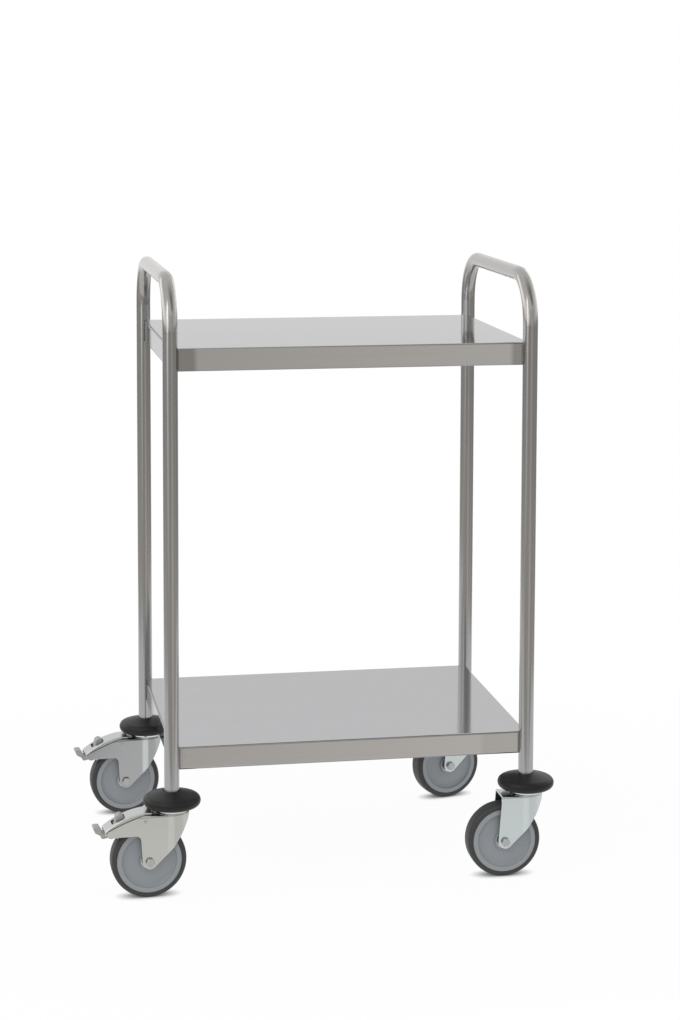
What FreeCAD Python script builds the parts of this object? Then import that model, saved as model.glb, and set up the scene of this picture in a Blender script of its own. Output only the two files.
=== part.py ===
import FreeCAD, Part
import math
import os

from FreeCAD import Vector

# Utility trolley: two folded shelves between two bent tube frames, on four swivel castors.
# Millimetres and degrees. +X along the shelves, +Y to the rear, +Z up from the floor.

# Tube frames
tube_spacing_x = 600.0
tube_spacing_y = 450.0
tube_diameter = 25.0
tube_wall = 1.5
handle_bend_radius = 80.0
handle_rise = 108.0
shelf_spacing = 660.0
foot_length = 34.0

# Folded shelves
shelf_sheet = 1.2
shelf_flange = 38.0
shelf_lip = 12.0
shelf_fold_radius = 3.0
lip_mitre_gap = 1.5
weld_gap = 0.2

# Bumper discs at the tube feet
bumper_diameter = 95.0
bumper_rim_radius = 9.5
bumper_slope_angle = 15.0
bumper_collar = 4.0
bumper_socket_depth = 4.0
socket_clearance = 0.15

# Swivel bearing and the bolt that holds it to the tube
swivel_head_diameter = 58.0
swivel_head_thickness = 6.0
swivel_head_edge = 1.2
swivel_gap = 1.0
ball_diameter = 5.0
race_inset = 13.0
ball_count = 14
race_clearance = 0.1
king_pin_diameter = 16.0
king_pin_flange_diameter = 32.0
king_pin_flange_thickness = 4.5
king_pin_clearance = 0.4
thrust_gap = 0.3
castor_bolt_diameter = 10.0
castor_bolt_head_across = 17.0
castor_bolt_head_height = 6.0
castor_bolt_clearance = 0.1
expander_length = 40.0
expander_clearance = 0.1
expander_chamfer = 1.5
thread_clearance = 0.05
bolt_end_depth = 6.0

# Wheels
wheel_diameter = 125.0
wheel_width = 32.0
tyre_depth = 9.0
tyre_shoulder_width = 6.5
tread_crown = 0.3
sidewall_height = 3.0
rim_ring_width = 8.0
rim_seat_depth = 2.5
rim_lip_width = 3.2
rim_lip_recess = 0.4
mould_gap = 0.05
web_thickness = 5.0
rib_count = 8
rib_thickness = 3.0
rib_gap = 0.1
hub_wall = 2.5
hub_boss_proud = 1.4
cap_thickness = 2.0
cap_recess = 4.0
cap_dish = 1.2
cap_wall_radius = 9.0
cap_wall_angle = 50.0
cap_clearance = 0.1
bearing_outer_diameter = 28.0
bearing_width = 8.0
bearing_recess = 1.5
bearing_shoulder = 3.0
bearing_land = 2.2
shield_depth = 0.6
bearing_clearance = 0.05
bearing_seat_gap = 0.02
axle_diameter = 8.0
axle_clearance = 0.1
axle_head_across = 13.0
axle_head_height = 5.3
axle_head_chamfer = 1.0
axle_nut_height = 6.5
axle_end_length = 1.5
sleeve_diameter = 12.0

# Castor forks, pressed from sheet
trail = 40.0
wheel_headroom = 13.0
fork_sheet = 3.0
wheel_side_gap = 4.0
fork_nose_reach = 29.0
fork_nose_length = 40.0
fork_shoulder_radius = 5.0
fork_boss_radius = 12.0
fork_roof_overhang = 6.0
fork_front_low_shares = (0.565, 0.261)
fork_front_mid_shares = (0.754, 0.503)

# Horns of the braked forks: shares of the horn's reach and of the fork's rise above the axle
horn_past_pin = 10.3
horn_heel_radius = 8.0
horn_heel_shares = (0.205, 0.567)
horn_under_share = 0.88
horn_tip_shares = (1.0, 0.631)
horn_tip_top_shares = (0.973, 0.688)
horn_top_shares = (0.54, 0.866)

# Brake cover between the horns
cover_sheet = 1.5
cover_gap = 0.8
cover_rise = 6.5
cover_back_gap = 2.5
cover_back_rise = 4.0
cover_lap = 12.0
cover_lap_gap = 0.5
cover_overhang = 3.2
cover_skirt = 3.0
cover_notch_length = 12.0
cover_notch_height = 14.0
cover_fold_radius = 3.0
cover_lug_radius = 5.0
slot_front_room = 0.5
slot_back_room = 1.0
slot_side_room = 1.0

# Brake shoe and rocker
brake_gap = 1.9
brake_pin_diameter = 5.0
brake_pin_clearance = 0.1
brake_pin_end = 0.8
root_pin_angle = 95.9
root_pin_standoff = 5.9
shoe_leaf = 2.0
shoe_width = 22.0
shoe_eye_wall = 1.6
shoe_block_start_angle = 131.0
shoe_block_end_angle = 143.0
rocker_pin_angle = 138.3
rocker_pin_standoff = 18.0
rocker_width = 22.0
rocker_hub_radius = 5.5
cam_offset = 6.0
cam_lead_angle = 65.0
cam_gap = 0.3
neck_radius = 4.0
neck_out = 15.0
neck_drop = 9.0
tab_root_out = 11.0
tab_root_drop = 12.5
tab_heel_out = 28.0
tab_heel_drop = 3.0
tab_tip_out = 32.5
tab_tip_rise = 6.5
tab_tip_length = 11.5
tab_corner_radius = 2.5
tab_width = 22.0
nub_in = 13.0
nub_rise = 18.0
nub_root_in = 8.0
nub_root_rise = 6.0
nub_root_radius = 5.5
nub_radius = 7.0
nub_width = 18.0

# Every cut runs past what it cuts by this much
overrun = 1.0

# Where each castor stands, and how far it is turned at rest about its tube
castor_corners = {
    "front_left": (-1, -1),
    "front_right": (1, -1),
    "rear_left": (-1, 1),
    "rear_right": (1, 1),
}
castor_turn_angles = {"front_left": 3.0, "front_right": 0.5, "rear_left": 5.0, "rear_right": 13.0}
braked_castors = ("front_left", "rear_left")

# Heights above the floor, stacked from the wheel up
tyre_radius = wheel_diameter / 2
axle_height = tyre_radius
roof_under = wheel_diameter + wheel_headroom
fork_top = roof_under + fork_sheet
fork_rise = fork_top - axle_height
head_bottom = fork_top + swivel_gap
castor_top = head_bottom + swivel_head_thickness
bumper_slope = math.radians(bumper_slope_angle)
bumper_crown_radius = tube_diameter / 2 + bumper_collar
bumper_rim_centre = bumper_diameter / 2 - bumper_rim_radius
bumper_tangent_radius = bumper_rim_centre + bumper_rim_radius * math.sin(bumper_slope)
bumper_tangent_height = bumper_rim_radius * (1 + math.cos(bumper_slope))
bumper_cone_run = bumper_tangent_radius - bumper_crown_radius
bumper_thickness = bumper_tangent_height + bumper_cone_run * math.tan(bumper_slope)
bumper_top = castor_top + bumper_thickness
tube_foot = bumper_top - bumper_socket_depth
bottom_deck = bumper_top + foot_length + shelf_flange
top_deck = bottom_deck + shelf_spacing
handle_bar = top_deck + handle_rise
king_pin_flange_top = roof_under - thrust_gap
king_pin_bottom = king_pin_flange_top - king_pin_flange_thickness
ball_centre = fork_top + swivel_gap / 2
ball_circle_radius = swivel_head_diameter / 2 - race_inset
expander_top = tube_foot + expander_length

# Widths across a castor
fork_inner = wheel_width + 2 * wheel_side_gap
fork_width = fork_inner + 2 * fork_sheet
rim_half = wheel_width / 2 - rim_lip_recess
boss_half = rim_half + hub_boss_proud
bearing_start = boss_half - bearing_recess - bearing_width

# Radii of a wheel
rim_radius = tyre_radius - tyre_depth
rim_bore_radius = rim_radius - rim_ring_width
hub_boss_radius = bearing_outer_diameter / 2 + hub_wall

# Brake geometry, measured from the axle
root_pin_radius = tyre_radius + root_pin_standoff
rocker_pin_radius = tyre_radius + rocker_pin_standoff
shoe_back_radius = root_pin_radius + shoe_leaf / 2
cam_reach = rocker_pin_radius - shoe_back_radius - cam_gap
cam_radius = cam_reach - cam_offset * math.cos(math.radians(cam_lead_angle))
horn_reach = horn_past_pin - rocker_pin_radius * math.cos(math.radians(rocker_pin_angle))

UP = Vector(0, 0, 1)
ACROSS = Vector(0, 1, 0)
ALONG = Vector(1, 0, 0)
ORIGIN = Vector(0, 0, 0)


def flat(x, z):
    """Point in the plane that halves a castor, or in the half plane of a turned profile."""
    return Vector(x, 0, z)


def closed_face(start, steps):
    """Face inside lines and arcs: a step is (end,) for a line or (point on the arc, end)."""
    edges = []
    here = start
    for step in steps:
        if len(step) == 1:
            edges.append(Part.LineSegment(here, step[0]).toShape())
        else:
            edges.append(Part.Arc(here, step[0], step[1]).toShape())
        here = step[-1]
    edges.append(Part.LineSegment(here, start).toShape())
    return Part.Face(Part.Wire(edges))


def turned(face):
    """Solid of a profile turned about the Z axis."""
    return face.revolve(ORIGIN, UP, 360)


def turned_polygon(points):
    """Solid of a straight-sided profile, given as (radius, height), turned about the Z axis."""
    corners = [flat(radius, height) for radius, height in points]
    return turned(closed_face(corners[0], [(corner,) for corner in corners[1:]]))


def prism(face, width):
    """Solid of a face in the XZ plane, as wide as given and centred on that plane."""
    return face.translated(ACROSS * (-width / 2)).extrude(ACROSS * width)


def disc(centre, radius, width):
    """Upright disc or round bar across a castor."""
    return Part.makeCylinder(radius, width, centre - ACROSS * (width / 2), ACROSS)


def edges_level(shape, height):
    """Straight or curved edges that lie flat at one height."""
    found = []
    for edge in shape.Edges:
        box = edge.BoundBox
        if abs(box.ZMin - height) < race_clearance and abs(box.ZMax - height) < race_clearance:
            found.append(edge)
    return found


def hexagon(across_flats, height):
    """Upright six-sided prism on the floor plane."""
    corner_radius = across_flats / math.sqrt(3)
    corners = []
    for number in range(6):
        angle = math.radians(60 * number)
        corners.append(Vector(corner_radius * math.cos(angle), corner_radius * math.sin(angle), 0))
    return Part.Face(Part.makePolygon(corners + corners[:1])).extrude(UP * height)


def chamfered_hexagon(across_flats, height, chamfer):
    """Bolt head or nut blank whose outer corners, on the low side, are turned off."""
    corner_radius = across_flats / math.sqrt(3)
    envelope = turned_polygon([
        (0, 0),
        (across_flats / 2, 0),
        (corner_radius, chamfer),
        (corner_radius, height),
        (0, height),
    ])
    return hexagon(across_flats, height).common(envelope)


def across_castor(shape):
    """Turn a shape from the Z axis to lie along the wheel axle, centred on it."""
    return shape.rotated(ORIGIN, ALONG, -90).translated(Vector(-trail, 0, axle_height))


def from_axle(along, up):
    """Point on a castor's middle plane, from its axle: along towards the king pin, and up."""
    return flat(along - trail, axle_height + up)


def around_axle(radius, angle):
    """Point on a castor's middle plane at a radius and angle about its axle."""
    turn = math.radians(angle)
    return from_axle(radius * math.cos(turn), radius * math.sin(turn))


def boss_tangent(along, up, side):
    """Where a line from a point touches the round lower end of a fork cheek."""
    reach = math.hypot(along, up)
    turn = math.degrees(math.acos(fork_boss_radius / reach))
    angle = math.degrees(math.atan2(up, along)) + side * turn
    return around_axle(fork_boss_radius, angle)


def tube_run(x, radius):
    """Solid rod along the centre line of one bent handle frame."""
    half = tube_spacing_y / 2
    bend = handle_bend_radius
    leg = handle_bar - bend - tube_foot
    front_leg = Part.makeCylinder(radius, leg, Vector(x, -half, tube_foot), UP)
    rear_leg = Part.makeCylinder(radius, leg, Vector(x, half, tube_foot), UP)
    bar = Part.makeCylinder(radius, tube_spacing_y - 2 * bend, Vector(x, bend - half, handle_bar), ACROSS)
    pieces = [rear_leg, bar]
    for side in (-1, 1):
        bend_start = Vector(x, side * half, handle_bar - bend)
        section = Part.Face(Part.Wire(Part.makeCircle(radius, bend_start, UP)))
        pieces.append(section.revolve(Vector(x, side * (half - bend), handle_bar - bend), ALONG, side * 90))
    return front_leg.fuse(pieces).removeSplitter()


def handle_frame(side):
    """Bent tube: two legs joined by the push handle across one end of the trolley."""
    x = side * tube_spacing_x / 2
    outside = tube_run(x, tube_diameter / 2)
    return outside.cut(tube_run(x, tube_diameter / 2 - tube_wall))


def folded_box(length, depth, low, high, radius):
    """Box whose level edges are all rounded, as folds in sheet are."""
    box = Part.makeBox(length, depth, high - low, Vector(-length / 2, -depth / 2, low))
    return box.makeFillet(radius, edges_level(box, low) + edges_level(box, high))


def shelf(deck):
    """Folded sheet: deck, turned-down flanges and return lips, notched round the four tubes."""
    low = deck - shelf_flange
    inner_length = tube_spacing_x - 2 * shelf_sheet
    inner_depth = tube_spacing_y - 2 * shelf_sheet
    inside_fold = shelf_fold_radius - shelf_sheet
    inside_low = low + shelf_sheet
    inside_high = deck - shelf_sheet
    inside = folded_box(inner_length, inner_depth, inside_low, inside_high, inside_fold)
    sheet = folded_box(tube_spacing_x, tube_spacing_y, low, deck, shelf_fold_radius).cut(inside)
    open_length = inner_length - 2 * shelf_lip
    open_depth = inner_depth - 2 * shelf_lip
    mouth_corner = Vector(-open_length / 2, -open_depth / 2, low - overrun)
    cuts = [Part.makeBox(open_length, open_depth, shelf_sheet + 2 * overrun, mouth_corner)]
    notch_radius = tube_diameter / 2 + weld_gap
    mitre_length = (shelf_sheet + shelf_lip) * math.sqrt(2) + overrun
    for x_side, y_side in castor_corners.values():
        corner = Vector(x_side * tube_spacing_x / 2, y_side * tube_spacing_y / 2, low - overrun)
        cuts.append(Part.makeCylinder(notch_radius, shelf_flange + 2 * overrun, corner, UP))
        slit_start = Vector(0, -lip_mitre_gap / 2, 0)
        slit = Part.makeBox(mitre_length, lip_mitre_gap, shelf_sheet + overrun, slit_start)
        inward = math.degrees(math.atan2(-y_side, -x_side))
        cuts.append(slit.rotated(ORIGIN, UP, inward).translated(corner))
    return sheet.cut(cuts)


def bumper():
    """Domed rubber disc with a socket for the tube's foot and a hole for the castor bolt."""
    bore = castor_bolt_diameter / 2 + castor_bolt_clearance
    socket = tube_diameter / 2 + socket_clearance
    floor = bumper_thickness - bumper_socket_depth
    rim = flat(bumper_diameter / 2, bumper_rim_radius)
    face = closed_face(flat(bore, 0), [
        (flat(bumper_rim_centre, 0),),
        (rim, flat(bumper_tangent_radius, bumper_tangent_height)),
        (flat(bumper_crown_radius, bumper_thickness),),
        (flat(socket, bumper_thickness),),
        (flat(socket, floor),),
        (flat(bore, floor),),
    ])
    return turned(face).translated(UP * castor_top)


def race_groove():
    """Ring-shaped room for the race balls, cut half from the head and half from the fork roof."""
    groove_radius = ball_diameter / 2 + race_clearance
    return Part.makeTorus(ball_circle_radius, groove_radius, UP * ball_centre, UP)


def swivel_head():
    """Upper race ring, clamped under the bumper."""
    bore = castor_bolt_diameter / 2 + castor_bolt_clearance
    outer = swivel_head_diameter / 2
    ring = turned_polygon([
        (bore, head_bottom),
        (outer - swivel_head_edge, head_bottom),
        (outer, head_bottom + swivel_head_edge),
        (outer, castor_top - swivel_head_edge),
        (outer - swivel_head_edge, castor_top),
        (bore, castor_top),
    ])
    return ring.cut(race_groove())


def swivel_balls():
    """Ring of race balls between the swivel head and the fork roof."""
    balls = []
    for number in range(ball_count):
        angle = 2 * math.pi * number / ball_count
        along = ball_circle_radius * math.cos(angle)
        centre = Vector(along, ball_circle_radius * math.sin(angle), ball_centre)
        balls.append(Part.makeSphere(ball_diameter / 2, centre))
    return balls


def king_pin():
    """Hollow pin through the fork roof, with the flange that carries the fork when it is lifted."""
    bore = castor_bolt_diameter / 2 + castor_bolt_clearance
    return turned_polygon([
        (bore, king_pin_bottom),
        (king_pin_flange_diameter / 2, king_pin_bottom),
        (king_pin_flange_diameter / 2, king_pin_flange_top),
        (king_pin_diameter / 2, king_pin_flange_top),
        (king_pin_diameter / 2, head_bottom),
        (bore, head_bottom),
    ])


def castor_bolt():
    """Bolt from below through king pin, head and bumper into the tube's expander."""
    head = hexagon(castor_bolt_head_across, castor_bolt_head_height)
    head = head.translated(UP * (king_pin_bottom - castor_bolt_head_height))
    shank_length = expander_top - bolt_end_depth - king_pin_bottom
    shank = Part.makeCylinder(castor_bolt_diameter / 2, shank_length, UP * king_pin_bottom, UP)
    return head.fuse(shank).removeSplitter()


def tube_expander():
    """Threaded plug that grips the inside of a tube's foot."""
    bore = castor_bolt_diameter / 2 + thread_clearance
    outer = tube_diameter / 2 - tube_wall - expander_clearance
    return turned_polygon([
        (bore, tube_foot),
        (outer, tube_foot),
        (outer, expander_top - expander_chamfer),
        (outer - expander_chamfer, expander_top),
        (bore, expander_top),
    ])


def fork_blank(tail, width, nose_length, low, high, shoulder):
    """Upright block with a rounded nose and a rounded top edge, open-ended towards its tail."""
    nose_start = fork_nose_reach - fork_nose_length
    half = width / 2
    tip = Vector(nose_start + nose_length, 0, low)
    centre = Vector(nose_start, 0, low)
    if nose_length > half:
        curve = Part.Ellipse(tip, Vector(nose_start, half, low), centre)
    else:
        curve = Part.Ellipse(Vector(nose_start, half, low), tip, centre)
    first = curve.parameter(Vector(nose_start, -half, low))
    last = curve.parameter(Vector(nose_start, half, low))
    nose = Part.ArcOfEllipse(curve, first, last).toShape()
    corners = [
        Vector(nose_start, half, low),
        Vector(-tail, half, low),
        Vector(-tail, -half, low),
        Vector(nose_start, -half, low),
    ]
    sides = [Part.LineSegment(a, b).toShape() for a, b in zip(corners, corners[1:])]
    block = Part.Face(Part.Wire([nose] + sides)).extrude(UP * (high - low))
    rounded = [edge for edge in edges_level(block, high) if edge.BoundBox.XMax > -tail + overrun]
    return block.makeFillet(shoulder, rounded)


def fork_front(steps):
    """Close a cheek's outline along its front: boss, straight heel and the curve up to the nose."""
    reach = trail + fork_nose_reach
    low_along = fork_front_low_shares[0] * reach
    low_up = fork_front_low_shares[1] * fork_rise
    mid = from_axle(fork_front_mid_shares[0] * reach, fork_front_mid_shares[1] * fork_rise)
    start = from_axle(reach + overrun, fork_rise)
    beyond = from_axle(reach + overrun, fork_rise + overrun)
    boss_low = from_axle(0, -fork_boss_radius)
    front = [
        (boss_low, boss_tangent(low_along, low_up, -1)),
        (from_axle(low_along, low_up),),
        (mid, start),
    ]
    return closed_face(beyond, steps + front)


def plain_cheek():
    """Side outline of a fork with no brake."""
    top_back = from_axle(-fork_roof_overhang, fork_rise)
    over_back = from_axle(-fork_roof_overhang, fork_rise + overrun)
    return fork_front([(over_back,), (top_back,), (boss_tangent(-fork_roof_overhang, fork_rise, 1),)])


def horned_cheek():
    """Side outline of a braked fork, whose cheek runs out into a tapering horn."""
    heel_along = -horn_heel_shares[0] * horn_reach
    under = horn_heel_shares[1] * fork_rise
    bow = horn_heel_radius * (1 - math.sqrt(2) / 2)
    steps = [
        (from_axle(-fork_roof_overhang, fork_rise + overrun),),
        (from_axle(-fork_roof_overhang, fork_rise),),
        (horn_point(horn_top_shares), horn_point(horn_tip_top_shares)),
        (horn_point(horn_tip_shares), from_axle(-horn_under_share * horn_reach, under)),
        (from_axle(heel_along - horn_heel_radius, under),),
        (from_axle(heel_along - bow, under - bow), from_axle(heel_along, under - horn_heel_radius)),
        (boss_tangent(heel_along, under - horn_heel_radius, 1),),
    ]
    return fork_front(steps)


def horn_point(shares):
    """Point of a horn's outline, from shares of its reach and of the fork's rise."""
    return from_axle(-shares[0] * horn_reach, shares[1] * fork_rise)


def fork(braked):
    """Pressed fork: roof with the lower race, rounded nose, two cheeks and, if braked, two horns."""
    tail = trail + (horn_reach if braked else fork_boss_radius) + overrun
    low = axle_height - fork_boss_radius - overrun
    blank = fork_blank(tail, fork_width, fork_nose_length, low, fork_top, fork_shoulder_radius)
    inner_nose = fork_nose_length - fork_sheet
    inner_shoulder = fork_shoulder_radius - fork_sheet
    inner_low = low - overrun
    room = fork_blank(tail + overrun, fork_inner, inner_nose, inner_low, roof_under, inner_shoulder)
    outline = horned_cheek() if braked else plain_cheek()
    cheek_cut = fork_width + 2 * overrun
    shell = blank.cut(room).common(prism(outline, cheek_cut))
    roof_hole = king_pin_diameter / 2 + king_pin_clearance
    axle_hole = disc(from_axle(0, 0), axle_diameter / 2 + axle_clearance, cheek_cut)
    cuts = [
        Part.makeCylinder(roof_hole, 2 * fork_shoulder_radius, UP * (fork_top - fork_shoulder_radius), UP),
        race_groove(),
        axle_hole,
    ]
    if braked:
        gap_low = roof_under - fork_shoulder_radius
        gap_start = Vector(-tail - overrun, -fork_inner / 2, gap_low)
        gap_length = tail + overrun - trail - fork_roof_overhang
        cuts.append(Part.makeBox(gap_length, fork_inner, fork_top + overrun - gap_low, gap_start))
        root_pin = around_axle(root_pin_radius, root_pin_angle)
        cuts.append(disc(root_pin, brake_pin_diameter / 2 + bearing_seat_gap, cheek_cut))
    return shell.cut(cuts)


def axle_bolt():
    """Axle bolt, its head on the front cheek."""
    head = chamfered_hexagon(axle_head_across, axle_head_height, axle_head_chamfer)
    head = head.translated(UP * (-fork_width / 2 - axle_head_height))
    shank_length = fork_width + axle_nut_height + axle_end_length
    shank = Part.makeCylinder(axle_diameter / 2, shank_length, UP * (-fork_width / 2), UP)
    return across_castor(head.fuse(shank).removeSplitter())


def axle_nut():
    """Nut on the rear cheek."""
    blank = chamfered_hexagon(axle_head_across, axle_nut_height, axle_head_chamfer)
    nut = blank.cut(Part.makeCylinder(axle_diameter / 2 + thread_clearance, axle_nut_height, ORIGIN, UP))
    nut = nut.rotated(ORIGIN, ALONG, 180)
    return across_castor(nut.translated(UP * (fork_width / 2 + axle_nut_height)))


def axle_sleeve():
    """Spacer between the cheeks, on which the wheel's bearings sit."""
    bore = axle_diameter / 2 + axle_clearance
    half = fork_inner / 2
    outer = sleeve_diameter / 2
    return across_castor(turned_polygon([(bore, -half), (outer, -half), (outer, half), (bore, half)]))


def wheel_bearings():
    """Two shielded bearings, one in each end of the wheel's hub."""
    inner = sleeve_diameter / 2 + bearing_clearance
    outer = bearing_outer_diameter / 2
    low = bearing_start
    high = low + bearing_width
    ring = turned_polygon([
        (inner, low),
        (outer, low),
        (outer, high),
        (outer - bearing_land, high),
        (outer - bearing_land, high - shield_depth),
        (inner + bearing_land, high - shield_depth),
        (inner + bearing_land, high),
        (inner, high),
    ])
    return [across_castor(ring), across_castor(ring.rotated(ORIGIN, ALONG, 180))]


def wheel_centre():
    """Moulded wheel: hub, thin web with ribs on both sides, and a rim with a lip at each edge."""
    hub_bore = bearing_outer_diameter / 2 + bearing_seat_gap
    shoulder = hub_bore - bearing_shoulder
    seat = rim_radius - rim_seat_depth
    half_profile = [
        (shoulder, 0),
        (shoulder, bearing_start),
        (hub_bore, bearing_start),
        (hub_bore, boss_half),
        (hub_boss_radius, boss_half),
        (hub_boss_radius, web_thickness / 2),
        (rim_bore_radius, web_thickness / 2),
        (rim_bore_radius, rim_half),
        (rim_radius, rim_half),
        (rim_radius, rim_half - rim_lip_width),
        (seat, rim_half - rim_lip_width),
        (seat, 0),
    ]
    mirrored = [(radius, -height) for radius, height in reversed(half_profile) if height > 0]
    wheel = turned_polygon(half_profile + mirrored)
    rib_half = rim_half - cap_recess - cap_thickness - rib_gap
    rib_inner = (hub_boss_radius + hub_bore) / 2
    rib_length = rim_bore_radius + rim_seat_depth / 2 - rib_inner
    rib_corner = Vector(rib_inner, -rib_thickness / 2, -rib_half)
    ribs = []
    for number in range(rib_count):
        rib = Part.makeBox(rib_length, rib_thickness, 2 * rib_half, rib_corner)
        ribs.append(rib.rotated(ORIGIN, UP, 360 * number / rib_count))
    return across_castor(wheel.fuse(ribs).removeSplitter())


def wheel_caps():
    """Smooth dished covers over the ribs, curved up to the rim, one on each side of the wheel."""
    inner = hub_boss_radius + cap_clearance
    outer = rim_bore_radius - cap_clearance
    floor = rim_half - cap_recess
    crown = floor + cap_dish
    wall_start = outer - cap_wall_radius * math.sin(math.radians(cap_wall_angle))
    wall = []
    for angle in (cap_wall_angle, cap_wall_angle / 2, 0):
        turn = math.radians(angle)
        rise = cap_wall_radius * (1 - math.cos(turn))
        wall.append(flat(wall_start + cap_wall_radius * math.sin(turn), floor + rise))
    face = closed_face(flat(inner, crown - cap_thickness), [
        (flat(outer, floor - cap_thickness),),
        (wall[0],),
        (wall[1], wall[2]),
        (flat(inner, crown),),
    ])
    cap = turned(face)
    return [across_castor(cap), across_castor(cap.rotated(ORIGIN, ALONG, 180))]


def tyre():
    """Rubber tyre with a slightly crowned tread and round shoulders, keyed between the rim's lips."""
    half = wheel_width / 2
    seat = rim_radius - rim_seat_depth + mould_gap
    bead = rim_radius + mould_gap
    key = rim_half - rim_lip_width - mould_gap
    side = bead + sidewall_height
    tread = tyre_radius - tread_crown
    tread_half = half - tyre_shoulder_width
    bow = math.sqrt(2) / 2
    shoulder = (side + (tread - side) * bow, tread_half + (half - tread_half) * bow)
    face = closed_face(flat(seat, -key), [
        (flat(bead, -key),),
        (flat(bead, -half),),
        (flat(side, -half),),
        (flat(shoulder[0], -shoulder[1]), flat(tread, -tread_half)),
        (flat(tyre_radius, 0), flat(tread, tread_half)),
        (flat(shoulder[0], shoulder[1]), flat(side, half)),
        (flat(bead, half),),
        (flat(bead, key),),
        (flat(seat, key),),
    ])
    return across_castor(turned(face))


def cover_outline(lowered, beyond):
    """Side outline of the brake cover, or of its inside when lowered and run past its open sides."""
    back = -fork_roof_overhang - cover_back_gap + beyond
    lap = back + cover_lap
    lap_low = fork_rise + cover_lap_gap - beyond
    front = -horn_reach - cover_overhang - beyond
    skirt = horn_heel_shares[1] * fork_rise + cover_skirt - beyond
    mid = horn_point(horn_top_shares) + UP * (cover_rise - lowered)
    tip = horn_tip_top_shares[1] * fork_rise - lowered
    return closed_face(from_axle(lap, fork_rise + cover_back_rise - lowered), [
        (mid, from_axle(front, tip)),
        (from_axle(front, skirt),),
        (from_axle(back - cover_notch_length, skirt),),
        (from_axle(back, skirt + cover_notch_height - beyond),),
        (from_axle(back, lap_low),),
        (from_axle(lap, lap_low),),
    ])


def brake_cover():
    """Folded channel between the horns, lapped over the fork's roof, with a slot for the nub."""
    width = fork_inner - 2 * cover_gap
    skin = prism(cover_outline(0, 0), width)
    top_edges = []
    for edge in skin.Edges:
        box = edge.BoundBox
        if min(box.XLength, box.ZLength) > cover_notch_length and box.ZMax > fork_top:
            top_edges.append(edge)
    skin = skin.makeFillet(cover_fold_radius, top_edges)
    room = prism(cover_outline(cover_sheet, overrun), width - 2 * cover_sheet)
    root_pin = around_axle(root_pin_radius, root_pin_angle)
    rocker_pin = around_axle(rocker_pin_radius, rocker_pin_angle)
    lugs = disc(root_pin, cover_lug_radius, width)
    inside = disc(root_pin, cover_lug_radius + overrun, width - 2 * cover_sheet)
    hole_radius = brake_pin_diameter / 2 + bearing_seat_gap
    holes = [disc(pin, hole_radius, width + 2 * overrun) for pin in (root_pin, rocker_pin)]
    slot_length = slot_front_room + nub_in + nub_radius + slot_back_room
    slot_width = nub_width + 2 * slot_side_room
    slot_corner = rocker_pin - Vector(slot_front_room, slot_width / 2, 0)
    slot = Part.makeBox(slot_length, slot_width, nub_rise + nub_radius, slot_corner)
    return skin.fuse(lugs).cut([room, inside, slot] + holes)


def brake_pins():
    """Root pin through both cheeks, and the rocker's pin between the cover's walls."""
    root_length = fork_width + 2 * brake_pin_end
    rocker_length = fork_inner - 2 * cover_gap
    places = [
        (around_axle(root_pin_radius, root_pin_angle), root_length),
        (around_axle(rocker_pin_radius, rocker_pin_angle), rocker_length),
    ]
    return [disc(centre, brake_pin_diameter / 2, length) for centre, length in places]


def bar(start, end, radius, width):
    """Bar with two round ends between two points of a castor's middle plane."""
    run = end - start
    side = Vector(-run.z, 0, run.x).normalize() * radius
    middle = closed_face(start + side, [(end + side,), (end - side,), (start - side,)])
    return prism(middle, width).fuse([disc(start, radius, width), disc(end, radius, width)])


def brake_tab(pin):
    """Thick paddle at the rocker's end, with three rounded corners."""
    root = pin + flat(-tab_root_out, -tab_root_drop)
    outer = [
        pin + flat(-tab_heel_out, -tab_heel_drop),
        pin + flat(-tab_tip_out, tab_tip_rise),
        pin + flat(tab_tip_length - tab_tip_out, tab_tip_rise),
    ]
    blade = prism(closed_face(root, [(corner,) for corner in outer]), tab_width)
    rounded = []
    for edge in blade.Edges:
        across = edge.BoundBox.YLength > tab_tip_length
        if across and (edge.CenterOfMass - root).Length > tab_tip_length:
            rounded.append(edge)
    return blade.makeFillet(tab_corner_radius, rounded)


def brake_rocker():
    """Cast rocker: hub and cam on the pin, tab to press, nub to release."""
    pin = around_axle(rocker_pin_radius, rocker_pin_angle)
    cam_angle = rocker_pin_angle + 180 - cam_lead_angle
    cam = pin + (around_axle(cam_offset, cam_angle) - around_axle(0, 0))
    nub = pin + flat(nub_in, nub_rise)
    pieces = [
        disc(cam, cam_radius, rocker_width),
        bar(cam, pin + flat(-neck_out, -neck_drop), neck_radius, rocker_width),
        brake_tab(pin),
        bar(pin + flat(nub_root_in, nub_root_rise), nub, nub_root_radius, nub_width),
        disc(nub, nub_radius, nub_width),
    ]
    body = disc(pin, rocker_hub_radius, rocker_width).fuse(pieces).removeSplitter()
    return body.cut(disc(pin, brake_pin_diameter / 2 + brake_pin_clearance, tab_width + 2 * overrun))


def ring_sector(inner, outer, start, end):
    """Face between two radii and two angles about the axle."""
    mid = (start + end) / 2
    return closed_face(around_axle(inner, start), [
        (around_axle(inner, mid), around_axle(inner, end)),
        (around_axle(outer, end),),
        (around_axle(outer, mid), around_axle(outer, start)),
    ])


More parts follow.
